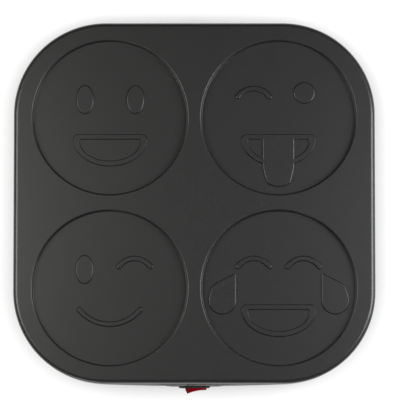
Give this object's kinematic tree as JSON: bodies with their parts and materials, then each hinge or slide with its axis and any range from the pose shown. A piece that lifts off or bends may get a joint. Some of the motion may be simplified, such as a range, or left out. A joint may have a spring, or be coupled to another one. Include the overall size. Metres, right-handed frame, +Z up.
{
  "type": "pancake maker",
  "caption": "Electric pancake maker: a round-cornered cast griddle with shallow round wells and raised figures on a low moulded housing with a rocker switch.",
  "frame": {"origin": "on the surface that the feet stand on, below the middle of the box of the whole appliance", "axes": "+X to the right and +Y to the rear as the switch faces the user at -Y, +Z up"},
  "size_m": [0.24, 0.2474, 0.07],
  "materials": {
    "cast_nonstick": "satin non-stick coating on cast aluminium",
    "housing_plastic": "fine satin moulding",
    "cover_plastic": "matt moulding",
    "foot_rubber": "matt",
    "black_plastic": "satin",
    "red_plastic": "glossy translucent",
    "lamp_glass": "clear",
    "lead_insulation": "woven glass sleeve",
    "earth_insulation": "satin",
    "terminal_plastic": "satin",
    "fuse_sleeve": "woven glass sleeve",
    "bead_ceramic": "unglazed ceramic",
    "contact_brass": "stamped",
    "element_steel": "heat-tinted tube",
    "shield_steel": "bright sheet",
    "thermostat_metal": "pressed",
    "screw_steel": "plated",
    "spring_steel": "drawn",
    "bracket_steel": "pressed"
  },
  "bodies": {
    "root": {"griddle_plate": "cast_nonstick", "housing_shell": "housing_plastic", "base_cover": "cover_plastic", "foot_front_left": "foot_rubber", "base_screw_front_left": "screw_steel", "foot_rear_left": "foot_rubber", "base_screw_rear_left": "screw_steel", "foot_front_right": "foot_rubber", "base_screw_front_right": "screw_steel", "foot_rear_right": "foot_rubber", "base_screw_rear_right": "screw_steel", "plate_screw_right": "screw_steel", "plate_screw_rear": "screw_steel", "plate_screw_left": "screw_steel", "plate_screw_front": "screw_steel", "heating_element": "element_steel", "element_bead_left": "bead_ceramic", "element_pin_left": "bracket_steel", "element_bead_right": "bead_ceramic", "element_pin_right": "bracket_steel", "element_clamp_left": "bracket_steel", "clamp_screw_left": "screw_steel", "element_clamp_right": "bracket_steel", "clamp_screw_right": "screw_steel", "element_clamp_front": "bracket_steel", "clamp_screw_front": "screw_steel", "thermostat": "thermostat_metal", "thermostat_bracket": "bracket_steel", "thermal_fuse": "fuse_sleeve", "fuse_clip": "bracket_steel", "bracket_screw_1": "screw_steel", "bracket_screw_2": "screw_steel", "fuse_clip_screw": "screw_steel", "heat_shield": "shield_steel", "shield_screw": "screw_steel", "cord_gland": "black_plastic", "gland_nut": "black_plastic", "terminal_block": "terminal_plastic", "terminal_block_screw": "screw_steel", "earth_tag": "contact_brass", "lead_line": "lead_insulation", "lead_switched": "lead_insulation", "lead_thermostat": "lead_insulation", "lead_fuse": "lead_insulation", "lead_neutral": "lead_insulation", "lead_lamp": "lead_insulation", "lead_earth": "earth_insulation", "switch_body": "black_plastic", "switch_terminal_line": "contact_brass", "switch_terminal_load": "contact_brass", "switch_terminal_lamp": "contact_brass"},
    "rocker": {"switch_rocker": "red_plastic", "switch_plunger": "spring_steel", "switch_spring": "spring_steel", "indicator_lamp": "lamp_glass"},
    "contact_lever": {"switch_contact_lever": "contact_brass"}
  },
  "joints": [
    {"name": "rocker_tilt", "type": "hinge", "parent": "root", "child": "rocker", "pos_m": [0, -0.11391, 0.035], "axis": [0, 0, -1], "range_deg": [0, 22]},
    {"name": "contact_tilt", "type": "hinge", "parent": "root", "child": "contact_lever", "pos_m": [0, -0.10681, 0.035], "axis": [0, 0, -1], "range_deg": [-16.1, 0]}
  ],
  "couplings": [
    {"joint": "contact_tilt", "follows": "rocker_tilt", "ratio": -0.72727}
  ]
}
